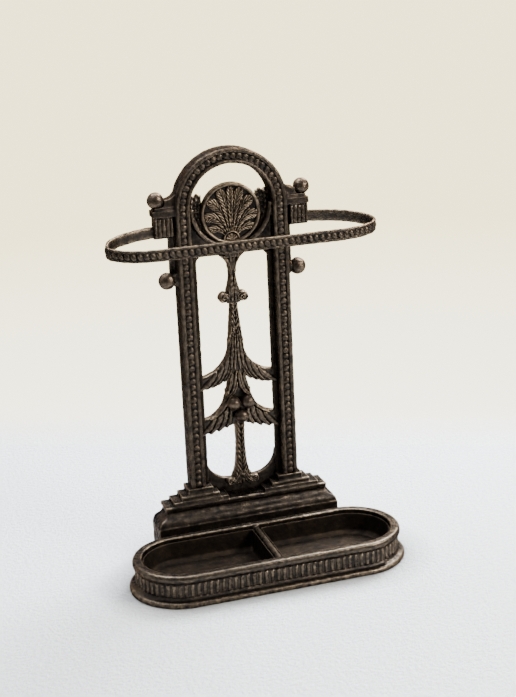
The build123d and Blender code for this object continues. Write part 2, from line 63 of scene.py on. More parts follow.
# ------------------------------------------------------------------ mesh helpers
def as_object(name, points, faces):
    """A smooth-shaded mesh object from points in millimetres."""
    mesh = bpy.data.meshes.new(name)
    mesh.from_pydata((np.asarray(points, float) * MM).tolist(), [], [list(map(int, f)) for f in faces])
    mesh.validate()
    for polygon in mesh.polygons:
        polygon.use_smooth = True
    made = bpy.data.objects.new(name, mesh)
    bpy.context.scene.collection.objects.link(made)
    return made


def lumps(points, size, seed, waves=14):
    """Smooth random unevenness, about -1 to 1, with features of the given size in mm."""
    rng = np.random.default_rng(seed)
    total = np.zeros(len(points))
    for _ in range(waves):
        way = rng.normal(size=3)
        way /= np.linalg.norm(way)
        rate = 2 * pi / (size * rng.uniform(0.7, 1.7))
        total += np.sin(points @ way * rate + rng.uniform(0, 2 * pi))
    return total / waves**0.5


def roughen(made, amount, size, seed):
    """Cast unevenness: each point moves along its normal."""
    mesh = made.data
    count = len(mesh.vertices)
    points = np.empty(count * 3)
    normals = np.empty(count * 3)
    mesh.vertices.foreach_get("co", points)
    mesh.vertex_normals.foreach_get("vector", normals)
    points = points.reshape(-1, 3)
    offset = amount * MM * lumps(points / MM, size, seed)
    mesh.vertices.foreach_set("co", (points + normals.reshape(-1, 3) * offset[:, None]).ravel())
    mesh.update()


def grid_faces(rows, columns, close_rows, close_columns):
    """Quads of a grid of points, row by row."""
    last_row = rows if close_rows else rows - 1
    last_column = columns if close_columns else columns - 1
    i, j = np.meshgrid(np.arange(last_row), np.arange(last_column), indexing="ij")
    i, j = i.ravel(), j.ravel()
    i2, j2 = (i + 1) % rows, (j + 1) % columns
    return np.stack([i * columns + j, i * columns + j2, i2 * columns + j2, i2 * columns + j], 1)


def swept(name, path, across, outward, section, loop):
    """A closed section carried along a path. section is (steps, points, 2)."""
    points = (
        path[:, None, :]
        + across[:, None, :] * section[..., 0:1]
        + outward[:, None, :] * section[..., 1:2]
    )
    rows, columns = section.shape[:2]
    faces = grid_faces(rows, columns, loop, True).tolist()
    if not loop:
        faces.append(list(range(columns)))
        faces.append([(rows - 1) * columns + k for k in reversed(range(columns))])
    return as_object(name, points.reshape(-1, 3), faces)


def face_outward(made):
    """Turns every face so that its normal looks out of the piece."""
    work = bmesh.new()
    work.from_mesh(made.data)
    bmesh.ops.recalc_face_normals(work, faces=work.faces)
    work.to_mesh(made.data)
    work.free()
    return made


def settle(made, modifiers):
    """Applies a list of (type, settings) modifiers to the mesh."""
    for kind, settings in modifiers:
        modifier = made.modifiers.new(kind.lower(), kind)
        for key, value in settings.items():
            setattr(modifier, key, value)
    bpy.context.view_layer.update()
    seen = made.evaluated_get(bpy.context.evaluated_depsgraph_get())
    mesh = bpy.data.meshes.new_from_object(seen)
    made.modifiers.clear()
    made.data = mesh
    for polygon in mesh.polygons:
        polygon.use_smooth = True
    return made


def softened(name, node, voxel, smooth=6):
    """A CAD node's shape with the rounded corners of a casting."""
    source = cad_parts[node].data
    points = np.empty(len(source.vertices) * 3)
    source.vertices.foreach_get("co", points)
    faces = [list(polygon.vertices) for polygon in source.polygons]
    made = as_object(name, points.reshape(-1, 3) / MM, faces)
    remesh = {"mode": "VOXEL", "voxel_size": voxel * MM, "use_smooth_shade": True}
    return settle(made, [("REMESH", remesh), ("SMOOTH", {"factor": 0.5, "iterations": smooth})])


def polygon_distance(x, z, outline):
    """Signed distance to a closed outline, negative inside."""
    points = np.stack([x.ravel(), z.ravel()], 1)
    best = np.full(len(points), 1e9)
    inside = np.zeros(len(points), bool)
    outline = np.asarray(outline, float)
    for a, b in zip(outline, np.roll(outline, -1, 0)):
        edge = b - a
        length = edge @ edge
        if length < 1e-9:
            continue
        from_a = points - a
        t = np.clip(from_a @ edge / length, 0, 1)
        off = from_a - t[:, None] * edge
        best = np.minimum(best, np.hypot(off[:, 0], off[:, 1]))
        if abs(edge[1]) > 1e-9:
            crosses = (a[1] > points[:, 1]) != (b[1] > points[:, 1])
            at = a[0] + (points[:, 1] - a[1]) * edge[0] / edge[1]
            inside ^= crosses & (points[:, 0] < at)
    return np.where(inside, -best, best).reshape(x.shape)


def arc(cx, cz, radius, start, end, steps=24):
    """Points of an arc, angles in degrees from +X towards +Z."""
    angle = np.radians(np.linspace(start, end, steps))
    return np.stack([cx + radius * np.cos(angle), cz + radius * np.sin(angle)], 1)


def smooth_line(points, steps=12):
    """A Catmull-Rom curve through given points."""
    points = np.asarray(points, float)
    padded = np.vstack([2 * points[0] - points[1], points, 2 * points[-1] - points[-2]])
    t = np.linspace(0, 1, steps, endpoint=False)[:, None]
    runs = []
    for p0, p1, p2, p3 in zip(padded, padded[1:], padded[2:], padded[3:]):
        runs.append(0.5 * (2 * p1 + (p2 - p0) * t + (2 * p0 - 5 * p1 + 4 * p2 - p3) * t**2
                           + (3 * p1 - p0 - 3 * p2 + p3) * t**3))
    return np.vstack(runs + [points[-1:]])


def step(low, high, value):
    """0 below low and 1 above high, with a smooth rise between."""
    t = np.clip((value - low) / (high - low), 0, 1)
    return t * t * (3 - 2 * t)


class Relief:
    """A casting seen from the front: an outline distance and a height above its face, on a grid."""

    def __init__(self, x0, x1, z0, z1, pitch):
        self.pitch = pitch
        xs = np.arange(x0, x1 + pitch / 2, pitch)
        zs = np.arange(z0, z1 + pitch / 2, pitch)
        self.x, self.z = np.meshgrid(xs, zs, indexing="ij")
        self.outline = np.full(self.x.shape, 1e3)
        self.height = np.zeros(self.x.shape)

    def cover(self, distance):
        self.outline = np.minimum(self.outline, distance)

    def lift(self, height):
        self.height = np.maximum(self.height, height)

    def blade(self, p0, p1, p2, width, rise, pinnae=0.0, groove=0.3, widen=False, taper=0.8,
              clear=0.0):
        """A leaf along a quadratic curve, with a midrib groove and, if pinnae is their pitch, oblique barbs.

        widen adds it to the outline, and clear is the width of the lowered gap around it.
        """
        p0, p1, p2 = (np.asarray(p, float) for p in (p0, p1, p2))
        t = np.linspace(0, 1, 41)[:, None]
        line = (1 - t) ** 2 * p0 + 2 * t * (1 - t) * p1 + t**2 * p2
        ahead = np.gradient(line, axis=0)
        ahead /= np.hypot(*ahead.T)[:, None]
        gone = np.concatenate([[0], np.cumsum(np.hypot(*np.diff(line, axis=0).T))])
        low, high = line.min(0) - width * 0.6 - 1, line.max(0) + width * 0.6 + 1
        near = (self.x > low[0]) & (self.x < high[0]) & (self.z > low[1]) & (self.z < high[1])
        off = np.stack([self.x[near], self.z[near]], 1)[:, None, :] - line[None]
        k = np.argmin((off**2).sum(2), 1)
        off = off[np.arange(len(k)), k]
        along = gone[k] + (off * ahead[k]).sum(1)
        v = off[:, 1] * ahead[k, 0] - off[:, 0] * ahead[k, 1]
        u = along / gone[-1]
        inside = np.clip(u, 0, 1)
        half = width / 2 * np.sin(pi * inside**taper) ** (0.42 if widen else 0.6) + 0.05
        ridge = np.ones(len(k))
        if pinnae:
            ridge = np.abs(np.sin(pi * (along - 1.7 * np.abs(v)) / pinnae)) ** 0.55
            rounded_tip = np.sqrt(np.clip(1 - ((inside - 0.78) / 0.22).clip(0, 1) ** 2, 0, 1))
            half = width / 2 * inside**0.85 * rounded_tip + 0.3
            half = half * (0.86 + 0.14 * ridge)
        dome = np.sqrt(np.clip(1 - (v / half) ** 2, 0, 1))
        if pinnae:
            dome = dome**0.5
        height = rise * dome * (0.4 + 0.6 * ridge)
        height *= 1 - groove * np.exp(-((v / 0.8) ** 2))
        over = (u >= 0) & (u <= 1) & (np.abs(v) < half)
        if clear:
            gap = (u >= 0) & (u <= 1) & (np.abs(v) < half + clear)
            self.height[near] = np.where(gap, np.minimum(self.height[near], 0.6), self.height[near])
        self.height[near] = np.maximum(self.height[near], np.where(over, height, 0))
        if widen:
            distance = np.where((u >= 0) & (u <= 1), np.abs(v) - half, 99.0)
            self.outline[near] = np.minimum(self.outline[near], distance)

    def build(self, name, front, back, edge):
        """A closed mesh of the covered area. front and back are depths, where smaller is nearer the viewer.

        front is a number or a grid, and edge is the radius of the rounded front edge.
        """
        x, z, pitch = self.x, self.z, self.pitch
        distance = self.outline
        gx, gz = np.gradient(distance, pitch)
        size = np.maximum(np.hypot(gx, gz), 0.3)
        solid = distance < 0.45 * pitch
        cell = solid[:-1, :-1] & solid[1:, :-1] & solid[:-1, 1:] & solid[1:, 1:]
        number = np.zeros(x.shape, int)
        for di in (0, 1):
            for dj in (0, 1):
                number[di:di + cell.shape[0], dj:dj + cell.shape[1]] += cell
        used = number > 0
        rim = used & (number < 4)
        # rim points slide on to the outline
        shift = np.clip(distance, -1.2 * pitch, 1.2 * pitch) / size**2
        px = np.where(rim, x - gx * shift, x)
        pz = np.where(rim, z - gz * shift, z)
        depth = np.clip(-distance / edge, 0, 1)
        depth = np.where(rim, 0, depth)
        rounding = edge * (1 - np.sqrt(np.clip(1 - (1 - depth) ** 2, 0, 1)))
        near = front + rounding - self.height * (0.35 + 0.65 * depth)
        index = -np.ones(x.shape, int)
        index[used] = np.arange(used.sum())
        count = int(used.sum())
        front_points = np.stack([px[used], near[used], pz[used]], 1)
        back_points = np.stack([px[used], np.full(count, float(back)), pz[used]], 1)
        a, b = index[:-1, :-1][cell], index[1:, :-1][cell]
        c, d = index[1:, 1:][cell], index[:-1, 1:][cell]
        quads = np.stack([a, b, c, d], 1)
        edges = np.concatenate([quads[:, [0, 1]], quads[:, [1, 2]], quads[:, [2, 3]], quads[:, [3, 0]]])
        # an edge used in one direction only is on the rim, so a wall joins front and back there
        seen = {(p, q): True for p, q in edges}
        walls = [(p, q, q + count, p + count) for p, q in seen if (q, p) not in seen]
        faces = quads.tolist() + (quads[:, ::-1] + count).tolist()
        faces += [(w[1], w[0], w[3], w[2]) for w in walls]
        return as_object(name, np.concatenate([front_points, back_points]), faces)


# ------------------------------------------------------------------ materials
def node_material(name):
    """A new material with its node tree and its main shader."""
    material = bpy.data.materials.new(name)
    material.use_nodes = True
    tree = material.node_tree
    return material, tree, tree.nodes["Principled BSDF"]


def feed(tree, socket, value):
    """Links an output to the socket, or sets the socket to a plain value."""
    if hasattr(value, "is_output"):
        tree.links.new(value, socket)
    else:
        socket.default_value = value


def add(tree, kind, inputs=None, **settings):
    """A node with its settings, and its inputs linked or set."""
    node = tree.nodes.new(kind)
    for key, value in settings.items():
        setattr(node, key, value)
    for key, value in (inputs or {}).items():
        feed(tree, node.inputs[key], value)
    return node


def ramp(tree, source, stops):
    """Colour along a list of (position, colour) stops."""
    node = add(tree, "ShaderNodeValToRGB", {"Fac": source})
    elements = node.color_ramp.elements
    while len(elements) < len(stops):
        elements.new(0.5)
    for element, (place, colour) in zip(elements, stops):
        element.position = place
        element.color = (*colour, 1)
    return node.outputs[0]


def mix(tree, share, first, second):
    """Blend of two colours: the numbers are the Mix node's factor, A and B colour sockets."""
    node = add(tree, "ShaderNodeMix", data_type="RGBA")
    for key, value in ((0, share), (6, first), (7, second)):
        feed(tree, node.inputs[key], value)
    return node.outputs[2]


def maths(tree, operation, *values):
    node = add(tree, "ShaderNodeMath", operation=operation)
    for socket, value in zip(node.inputs, values):
        feed(tree, socket, value)
    return node.outputs[0]


def noise(tree, place, scale, detail, roughness):
    settings = {"Vector": place, "Scale": scale, "Detail": detail, "Roughness": roughness}
    return add(tree, "ShaderNodeTexNoise", settings).outputs["Fac"]


def eased(tree, value, low, high):
    """0 below low and 1 above high, with a smooth rise between."""
    inputs = {"Value": value, "From Min": low, "From Max": high}
    return add(tree, "ShaderNodeMapRange", inputs, interpolation_type="SMOOTHSTEP").outputs[0]


def grey(value):
    return (value, value, value)


BLACK, WHITE = grey(0), grey(1)
SIDE_TINT = (0.30, 0.25, 0.20, 1)       # keeps faces seen at a shallow angle from turning white


def bronzed(name, dark, mid, worn, wear, rough=0.42, grain=0.5, crevice_shade=0.75, metal=0.6, relief=None,
            shine=0.45):
    """Blackened iron, bronzed, rubbed lighter on its high edges and freckled with old lacquer, with painted
    shade that darkens its hollows and creases towards near-black.

    relief is the depth in mm of the ground and of the crests of a relief, and the crests' share of wear.
    """
    material, tree, shader = node_material(name)
    place = add(tree, "ShaderNodeTexCoord").outputs["Object"]
    cloud = noise(tree, place, 52.0, 7.0, 0.7)
    fine = noise(tree, place, 420.0, 4.0, 0.65)
    speck = noise(tree, place, 130.0, 3.0, 0.7)
    point = add(tree, "ShaderNodeNewGeometry").outputs["Pointiness"]
    high = ramp(tree, point, [(0.505, BLACK), (0.575, WHITE)])
    low = ramp(tree, point, [(0.42, WHITE), (0.495, BLACK)])
    patch = ramp(tree, speck, [(0.38, grey(0.05)), (0.64, WHITE)])
    broad = ramp(tree, cloud, [(0.40, BLACK), (0.66, WHITE)])
    freckle = ramp(tree, fine, [(0.56, BLACK), (0.7, WHITE)])
    base = mix(tree, broad, dark, mid)
    rub = maths(tree, "MULTIPLY", maths(tree, "MULTIPLY", high, patch), wear)
    freckle = maths(tree, "MULTIPLY", maths(tree, "MULTIPLY", freckle, broad), 0.22 * wear)
    rub = maths(tree, "ADD", rub, freckle)
    if relief:
        ground, crest, share = relief
        depth = add(tree, "ShaderNodeSeparateXYZ", {"Vector": place}).outputs["Y"]
        raised = eased(tree, depth, ground * MM, crest * MM)
        patchy = maths(tree, "ADD", maths(tree, "MULTIPLY", patch, 0.6), 0.4)
        raised = maths(tree, "MULTIPLY", raised, patchy)
        rub = maths(tree, "ADD", rub, maths(tree, "MULTIPLY", raised, share))
    rub = maths(tree, "MINIMUM", rub, 1.0)
    colour = mix(tree, rub, base, worn)
    # painted shade: hollows and creases, found by low pointiness, darken towards a near-black colour
    hollow_shade_colour = tuple(c * 0.3 for c in dark[:3]) + (1,)
    colour = mix(tree, maths(tree, "MULTIPLY", low, crevice_shade), colour, hollow_shade_colour)
    tree.links.new(colour, shader.inputs["Base Color"])
    gloss = ramp(tree, cloud, [(0.3, grey(rough + 0.1)), (0.7, grey(rough - 0.06))])
    tree.links.new(gloss, shader.inputs["Roughness"])
    shader.inputs["Metallic"].default_value = metal
    shader.inputs["Specular IOR Level"].default_value = shine
    shader.inputs["Specular Tint"].default_value = SIDE_TINT
    pores = add(tree, "ShaderNodeBump", {"Height": fine, "Strength": grain, "Distance": 0.0006})
    skin = {"Height": speck, "Strength": grain, "Distance": 0.0012, "Normal": pores.outputs["Normal"]}
    tree.links.new(add(tree, "ShaderNodeBump", skin).outputs["Normal"], shader.inputs["Normal"])
    return material


DARK, MID, WORN = (0.015, 0.0135, 0.0128, 1), (0.053, 0.042, 0.032, 1), (0.37, 0.28, 0.19, 1)
BEADED_MID, BODY_MID = (0.036, 0.028, 0.021, 1), (0.045, 0.035, 0.027, 1)
PAN_TONES = (0.008, 0.0066, 0.0056, 1), (0.021, 0.015, 0.0105, 1), (0.15, 0.105, 0.068, 1)
BALL_TONES = (0.027, 0.021, 0.017, 1), (0.082, 0.061, 0.044, 1), (0.38, 0.28, 0.19, 1)
STEEL_TONES = (0.03, 0.027, 0.024, 1), (0.06, 0.053, 0.045, 1), (0.3, 0.26, 0.21, 1)
IRON = bronzed("bronzed_iron", DARK, MID, WORN, wear=0.75, rough=0.31, metal=0.92)
PALMETTE = bronzed("bronzed_iron_palmette", DARK, DARK, WORN, wear=0.5, rough=0.34, metal=0.92,
                   relief=(109.5, 105.8, 0.34))
LEAFED = bronzed("bronzed_iron_leafed", DARK, MID, WORN, wear=0.55, rough=0.34, grain=0.6, crevice_shade=0.95,
                 metal=0.95, relief=(112.0, 107.5, 0.13))
FLUTED = bronzed("bronzed_iron_fluted", DARK, DARK, WORN, wear=0.4, rough=0.30, metal=0.92,
                 relief=(98.0, 95.0, 0.14))
BEADED = bronzed("bronzed_iron_beaded", DARK, BEADED_MID, WORN, wear=0.6, rough=0.40, grain=0.8,
                 crevice_shade=0.4, metal=0.92)
BODY = bronzed("bronzed_iron_body", DARK, BODY_MID, WORN, wear=0.45, rough=0.46, grain=0.6, metal=1.0)
PAN = bronzed("pan_iron", *PAN_TONES, wear=0.2, rough=0.48, grain=0.6, crevice_shade=0.1, metal=0.75, shine=0.15)
BALL = bronzed("worn_bronze", *BALL_TONES, wear=0.8, rough=0.34, grain=0.5, metal=0.88)
STEEL = bronzed("dark_steel", *STEEL_TONES, wear=0.6, rough=0.40, grain=0.3)


def dress(made, material, nodes=(), body="stand"):
    """Gives a piece its material and body, and hides the CAD nodes it stands for."""
    made.data.materials.clear()
    made.data.materials.append(material)
    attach(made, body)
    if nodes:
        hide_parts(*nodes)
    return made


# ------------------------------------------------------------------ beaded moulding of stiles and arch
def bump_profile(offset, centre, half, top, floor):
    """Depth of a half-round rib: floor away from it, top at its middle."""
    inside = np.clip(1 - ((offset - centre) / half) ** 2, 0, 1)
    return floor - (floor - top) * np.sqrt(inside)


def make_moulding():
    """Stiles and arch in one sweep: a row of beads in a channel between two ribs, hollow at the back."""
    straight = ARCH_Z - FOOT_Z
    turn = pi * STILE_MID
    whole = 2 * straight + turn
    count = int(whole)
    along = np.linspace(0, whole, count)
    angle = np.clip((along - straight) / STILE_MID, 0, pi)
    rise = np.where(along < straight, along, straight)
    rise = np.where(along > straight + turn, whole - along, rise)
    outward = np.stack([-np.cos(angle), np.zeros(count), np.sin(angle)], 1)
    centre = np.stack([np.zeros(count), np.zeros(count), FOOT_Z + rise], 1)
    path = centre + outward * STILE_MID
    half = (STILE_OUT - STILE_IN) / 2
    s = np.concatenate([np.linspace(-half, -half + 1, 4)[:-1], np.linspace(-half + 1, half - 1, 42),
                        np.linspace(half - 1, half, 4)[1:]])
    beads = round(whole / STILE_BEADS)
    local = ((along / along[-1] * beads) % 1 - 0.5) * along[-1] / beads
    floor, face = 99.4, 102.0
    inner = bump_profile(s, -10.4, 3.7, 94.8, 101.0)
    outer = bump_profile(s, 10.3, 4.2, 93.8, face)
    flat = np.where(np.abs(s) < 6, floor, face)
    front = np.minimum(np.minimum(inner, outer), flat)
    bead = 1 - (s[None, :] / 6.9) ** 2 - (local[:, None] / 6.0) ** 2
    bead = floor - 3.9 * np.clip(bead, 0, 1) ** 0.45
    y = np.minimum(np.broadcast_to(front, (count, len(s))), bead)
    wall, pocket = 8, 112.0
    right = [[half, 106.0], [half, 114.0], [half, 122.0], [half - 0.3, BACK_Y - 1], [half - 1.5, BACK_Y],
             [half - wall, BACK_Y], [half - wall, pocket]]
    side = np.array(right + [[-across, y] for across, y in reversed(right)])
    section = np.concatenate([
        np.stack([np.broadcast_to(s, y.shape), y], 2),
        np.broadcast_to(side, (count, *side.shape)),
    ], 1)
    depth = np.broadcast_to(np.array([0.0, 1.0, 0.0]), (count, 3))
    made = face_outward(swept("beaded_moulding", path, outward, depth, section, False))
    roughen(made, 0.3, 11, 1)
    return dress(made, BEADED, ["back_frame"])


def make_ring():
    """U-shaped moulding that completes the arch's inner circle round the medallion."""
    angle = np.radians(np.linspace(181, 359, 250))
    outward = np.stack([np.cos(angle), np.zeros(250), np.sin(angle)], 1)
    path = np.array([0.0, 0.0, ARCH_Z]) + 74.0 * outward
    depth = np.broadcast_to(np.array([0.0, 1.0, 0.0]), (250, 3))
    turn = np.radians(np.linspace(180, 360, 16))
    front = np.stack([4.3 * np.cos(turn), 104.5 + 5.2 * np.sin(turn)], 1)
    outline = np.vstack([front, [[4.3, 115.5], [-4.3, 115.5]]])
    section = np.broadcast_to(outline, (250, *outline.shape))
    made = face_outward(swept("ring_moulding", path, outward, depth, section, False))
    roughen(made, 0.3, 9, 21)
    return dress(made, IRON, ["back_frame"])


def make_frame_body():
    """The rest of the back casting: shoulders, cornices, rails and ears."""
    made = softened("frame_body", "back_frame", 1.5, 4)
    roughen(made, 0.22, 11, 2)
    return dress(made, BODY, ["back_frame"])


# ------------------------------------------------------------------ hoop
def hoop_path(step_mm):
    """Points of the band's outer face, level, from one tail round the front to the other."""
    t = np.linspace(0, 1, 400)
    rear_x = HOOP_HALF - HOOP_SWEEP
    front_x = HOOP_HALF - HOOP_CORNER
    a = np.radians(90 * (1 - t))
    rear = np.stack([rear_x + HOOP_SWEEP * np.cos(a), HOOP_WIDEST + (HOOP_BACK - HOOP_WIDEST) * np.sin(a)], 1)
    rear = rear[rear[:, 0] > HOOP_TAIL + 1]
    a = np.radians(-90 * t)
    reach = HOOP_WIDEST - HOOP_FRONT
    corner = np.stack([front_x + HOOP_CORNER * np.cos(a), HOOP_WIDEST + reach * np.sin(a)], 1)
    half = np.vstack([rear, corner[1:]])
    whole = np.vstack([half, half[::-1] * [-1, 1]])
    length = np.concatenate([[0], np.cumsum(np.hypot(*np.diff(whole, axis=0).T))])
    at = np.linspace(0, length[-1], int(length[-1] / step_mm))
    return np.stack([np.interp(at, length, whole[:, 0]), np.interp(at, length, whole[:, 1])], 1), at


def make_hoop():
    """Flat band with beads between two raised edges, tipped down towards the front."""
    plan, at = hoop_path(1.0)
    ahead = np.gradient(plan, axis=0)
    ahead /= np.hypot(*ahead.T)[:, None]
    out = np.stack([-ahead[:, 1], ahead[:, 0]], 1)
    out *= np.sign((out * (plan - [0, HOOP_WIDEST])).sum(1))[:, None]
    count = len(plan)
    mid_z = (HOOP_Z0 + HOOP_Z1) / 2
    turn = np.array(Matrix.Rotation(radians(HOOP_TILT), 3, "X"))
    path = np.stack([plan[:, 0], plan[:, 1] - HOOP_BACK, np.zeros(count)], 1) @ turn.T + [0, HOOP_BACK, mid_z]
    outward = np.stack([out[:, 0], out[:, 1], np.zeros(count)], 1) @ turn.T
    upward = np.broadcast_to(turn @ np.array([0.0, 0.0, 1.0]), (count, 3))
    half = (HOOP_Z1 - HOOP_Z0) / 2
    s = np.linspace(-half + 0.4, half - 0.4, 30)
    beads = round(at[-1] / HOOP_BEADS)
    local = ((at / at[-1] * beads) % 1 - 0.5) * at[-1] / beads
    floor = 2.6
    rim_low = -bump_profile(s, -half + 2.3, 2.6, 0.4, floor)
    rim_high = -bump_profile(s, half - 2.3, 2.6, 0.4, floor)
    face = np.maximum(np.maximum(rim_low, rim_high), -floor)
    slant = local[:, None] - 0.3 * s[None, :]
    bead = 1 - (s[None, :] / 7.4) ** 2 - (slant / 5.3) ** 2
    bead = -2.7 + 3.6 * np.clip(bead, 0, 1) ** 0.6
    face = np.maximum(np.broadcast_to(face, (count, len(s))), bead)
    inner = np.array([[half, -2.2], [half, -4.6], [half - 0.9, -5.8], [half / 2, -6.0], [0.0, -6.0],
                      [-half / 2, -6.0], [0.9 - half, -5.8], [-half, -4.6], [-half, -2.2]])
    section = np.concatenate([
        np.stack([np.broadcast_to(s, face.shape), face], 2),
        np.broadcast_to(inner, (count, *inner.shape)),
    ], 1)
    made = face_outward(swept("beaded_hoop", path, upward, outward, section, False))
    roughen(made, 0.3, 10, 3)
    return dress(made, BEADED, ["umbrella_hoop"])


# ------------------------------------------------------------------ tray
GADROON_R = 88.0                # radius of the tray's ends at the gadroons
BAND_LOW, BAND_HIGH = 14.4, 40.0
WELL_FLOOR = 9.6


def stadium_ring(spacing):
    """Steps round the tray: places on its middle line, directions outward, distances and their total."""
    radius = GADROON_R
    straight = 2 * TRAY_HALF
    whole = 2 * straight + 2 * pi * radius
    count = int(whole / spacing)
    at = np.linspace(0, whole, count, endpoint=False)
    base, out = np.zeros((count, 3)), np.zeros((count, 3))
    for k, d in enumerate(at):
        if d < straight:
            base[k] = (-TRAY_HALF + d, TRAY_Y, 0)
            out[k] = (0, -1, 0)
        elif d < straight + pi * radius:
            angle = -pi / 2 + (d - straight) / radius
            base[k] = (TRAY_HALF, TRAY_Y, 0)
            out[k] = (cos(angle), sin(angle), 0)
        elif d < 2 * straight + pi * radius:
            base[k] = (TRAY_HALF - (d - straight - pi * radius), TRAY_Y, 0)
            out[k] = (0, 1, 0)
        else:
            angle = pi / 2 + (d - 2 * straight - pi * radius) / radius
            base[k] = (-TRAY_HALF, TRAY_Y, 0)
            out[k] = (cos(angle), sin(angle), 0)
    return base, out, at, whole


def make_tray():
    """Foot flange, gadrooned band, rolled rim and the wall inside it, as one section carried round."""
    base, out, at, whole = stadium_ring(1.1)
    gadroons = round(whole / GADROONS)
    local = (at / whole * gadroons) % 1 - 0.5
    lower = [(92.0, 3.5), (92.2, 0.6), (93.0, 0.0), (96.5, 0.0), (98.0, 0.6), (98.9, 2.2), (99.1, 4.4),
             (98.6, 6.6), (97.0, 8.2), (94.5, 9.2), (91.5, 9.8), (89.0, 10.8), (87.3, 12.2), (86.3, 13.6)]
    band_z = np.linspace(BAND_LOW, BAND_HIGH, 22)
    upper = [(86.0, 41.2), (87.2, 42.2)]
    torus = [(86.2 + 5.4 * cos(a), 49.2 + 7.4 * sin(a)) for a in np.radians(np.linspace(-62, 96, 16))]
    inner = [(82.0, 56.9), (79.0, 56.5), (76.6, 55.4), (75.0, 53.4), (74.3, 50.5), (74.0, 46.0), (74.0, 20.0),
             (72.0, 11.0), (60.0, WELL_FLOOR), (20.0, WELL_FLOOR)]
    fixed = np.array(lower + [(0, z) for z in band_z] + upper + torus + inner)
    section = np.broadcast_to(fixed, (len(at), *fixed.shape)).copy()
    first = len(lower)
    lift = np.sqrt(np.clip(1 - (local / 0.36) ** 2, 0, 1))[:, None]
    ends = np.sqrt(np.clip(1 - np.clip((np.abs(band_z - 27.2) - 9.2) / 3.8, 0, 1) ** 2, 0, 1))[None, :]
    section[:, first:first + len(band_z), 0] = 83.7 + 4.0 * lift * ends
    upward = np.broadcast_to(np.array([0.0, 0.0, 1.0]), (len(at), 3))
    points = base[:, None, :] + out[:, None, :] * section[..., 0:1] + upward[:, None, :] * section[..., 1:2]
    rows, columns = section.shape[:2]
    faces = grid_faces(rows, columns, True, False)
    made = face_outward(as_object("gadrooned_rim", points.reshape(-1, 3), faces))
    roughen(made, 0.18, 9, 4)
    return dress(made, IRON, ["base_tray"])


def make_tray_body():
    made = softened("tray_floor", "base_tray", 1.7, 3)
    roughen(made, 0.12, 11, 5)
    return dress(made, IRON, ["base_tray"])


def make_plinth():
    made = softened("stepped_plinth", "plinth", 1.3, 3)
    roughen(made, 0.28, 12, 6)
    return dress(made, IRON, ["plinth"])


def make_pans():
    for side in ("left", "right"):
        made = softened("drip_pan_visual_" + side, "drip_pan_" + side, 1.3, 6)
        roughen(made, 0.12, 12, 7)
        dress(made, PAN, ["drip_pan_" + side], "pan_" + side)


# ------------------------------------------------------------------ tracery
UPPER_WING_Z, UPPER_WING_R = 397.5, 64.0        # rounds under which the wings' upper edges run
LOWER_WING_Z, LOWER_WING_R = 303.0, 53.0
VOLUTE_Z, VOLUTE_R, VOLUTE_FOOT = 482.0, 10.5, 473.2
SCROLL_X, SCROLL_Z, SCROLL_R = 24, 121, 7.6

WING_EDGE = {"groove": 0.0, "taper": 1.1, "clear": 1.0}
STEM_BLADE = {"groove": 0.1, "taper": 1.2, "clear": 1.0}
# Leaves of the right half: root, bend, tip, greatest width, height and other settings of the blade
TRACERY_LEAVES = [
    # leading edges of the wings
    ((6.5, 436), (14.0, 380), (54, 340), 6.5, 5.4, WING_EDGE),
    ((10.0, 312), (24.0, 262), (60, 250), 6.5, 4.6, WING_EDGE),
    # long blades at the stem's foot, over the roots of the wings
    ((1.8, 414), (2.6, 382), (5.5, 342), 7.4, 5.2, STEM_BLADE),
    ((6.5, 408), (8.5, 380), (12.5, 344), 7.4, 4.8, STEM_BLADE),
    # bell of curled leaves above the berries
    ((2.6, 340), (3.5, 298), (21.5, 293), 12.0, 6.2, {"groove": 0.5, "widen": True, "clear": 1.2}),
    ((11.5, 336), (13.0, 316), (22.0, 296), 8.0, 4.6, {"groove": 0.4, "widen": True}),
    # neck leaves
    ((3.4, 474), (3.0, 505), (3.4, 540), 6.4, 4.4, {}),
    ((7.5, 484), (8.0, 500), (4.6, 520), 6.4, 3.8, {}),
    ((2.6, 522), (5.0, 548), (16.0, 562), 8.0, 4.2, {}),
    ((1.6, 532), (2.0, 550), (4.0, 570), 6.0, 4.0, {}),
]
FOOT_LEAVES = [
    ((3, 142), (8, 122), (24, 115), 8.0, 4.6, {"groove": 0.4, "widen": True}),
    ((2, 138), (4, 124), (13, 114), 8.0, 4.4, {"groove": 0.4}),
]
HEAD_LEAVES = [((2, 556), (4, 568), (9, 578), 7.0, 3.2, {})]


def draw_leaves(relief, leaves):
    """Leaves given for the right half, drawn on the left and then on the right."""
    for side in (-1, 1):
        for root, bend, tip, width, rise, settings in leaves:
            line = [(side * px, pz) for px, pz in (root, bend, tip)]
            relief.blade(*line, width, rise, **settings)


def scroll(relief, cx, cz, radius, pitch, rise):
    """A raised spiral on each side of the middle."""
    x, z = np.abs(relief.x), relief.z
    out = np.hypot(x - cx, z - cz)
    angle = np.arctan2(z - cz, x - cx)
    coil = np.abs((out - pitch * angle / (2 * pi)) % pitch - pitch / 2) / (pitch / 2)
    relief.lift(np.where(out < radius, 0.8 + rise * np.sqrt(np.clip(1 - coil**2, 0, 1)), 0))


def upper_outline():
    """Right half of the neck, the upper wing and the bell."""
    neck = smooth_line([(24, 563), (10.5, 549), (6.3, 528), (7.9, 511), (12.5, 494)])
    hollow = arc(STILE_IN, UPPER_WING_Z, UPPER_WING_R, 180, 270, 40)
    under = smooth_line([(STILE_IN, 316), (55, 313), (35, 319), (17, 327)])
    bell = smooth_line([(17, 327), (14.5, 316), (17.4, 302), (22, 293)])
    return np.vstack([neck, [(12.5, 471), (6.4, 470)], hollow, under, bell, [(0, 293), (0, PANEL_TOP)]])


